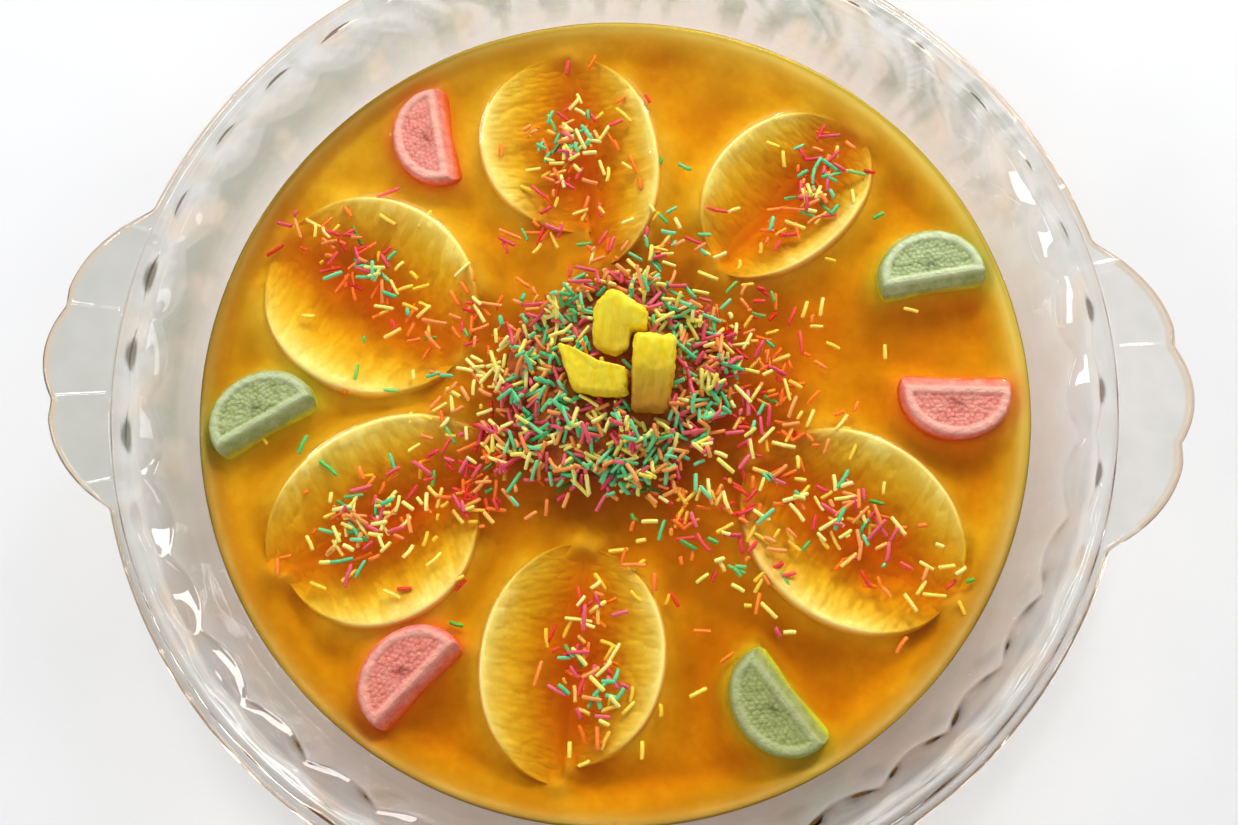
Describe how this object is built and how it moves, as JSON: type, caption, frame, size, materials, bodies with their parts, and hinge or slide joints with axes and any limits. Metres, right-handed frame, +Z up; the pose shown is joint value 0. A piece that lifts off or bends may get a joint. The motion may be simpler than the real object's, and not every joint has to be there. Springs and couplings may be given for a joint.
{
  "type": "moulded jelly",
  "caption": "Orange jelly set in a fluted clear glass pie dish with two scalloped handles, with orange segments, half-moon sweets and sugar strands.",
  "frame": {"origin": "centre of the dish's flat underside", "axes": "+Z up, X through the two handles, -Y towards the viewer"},
  "size_m": [0.294, 0.26, 0.046],
  "materials": {
    "clear_glass": "clear pressed glass, smooth and glossy",
    "orange_jelly": "wet glossy translucent jelly",
    "orange_pulp": "wet orange pulp with fine fibres",
    "pink_sweet": "frosted fruit jelly with a fine sugar bloom",
    "green_sweet": "frosted fruit jelly with a fine sugar bloom",
    "sugar_strands": "mixed pink, green, orange and cream sugar strands",
    "yellow_fruit": "matte moist fibrous fruit flesh"
  },
  "bodies": {
    "root": {"glass_dish": "clear_glass", "jelly": "orange_jelly", "orange_segment_01": "orange_pulp", "orange_segment_02": "orange_pulp", "orange_segment_03": "orange_pulp", "orange_segment_04": "orange_pulp", "orange_segment_05": "orange_pulp", "orange_segment_06": "orange_pulp", "orange_segment_07": "orange_pulp", "orange_segment_08": "orange_pulp", "orange_segment_09": "orange_pulp", "orange_segment_10": "orange_pulp", "orange_segment_11": "orange_pulp", "orange_segment_12": "orange_pulp", "sweet_pink_1": "pink_sweet", "sweet_green_1": "green_sweet", "sweet_pink_2": "pink_sweet", "sweet_green_2": "green_sweet", "sweet_pink_3": "pink_sweet", "sweet_green_3": "green_sweet", "sprinkle_mound": "sugar_strands", "fruit_chunk_1": "yellow_fruit", "fruit_chunk_2": "yellow_fruit", "fruit_chunk_3": "yellow_fruit"}
  },
  "joints": []
}
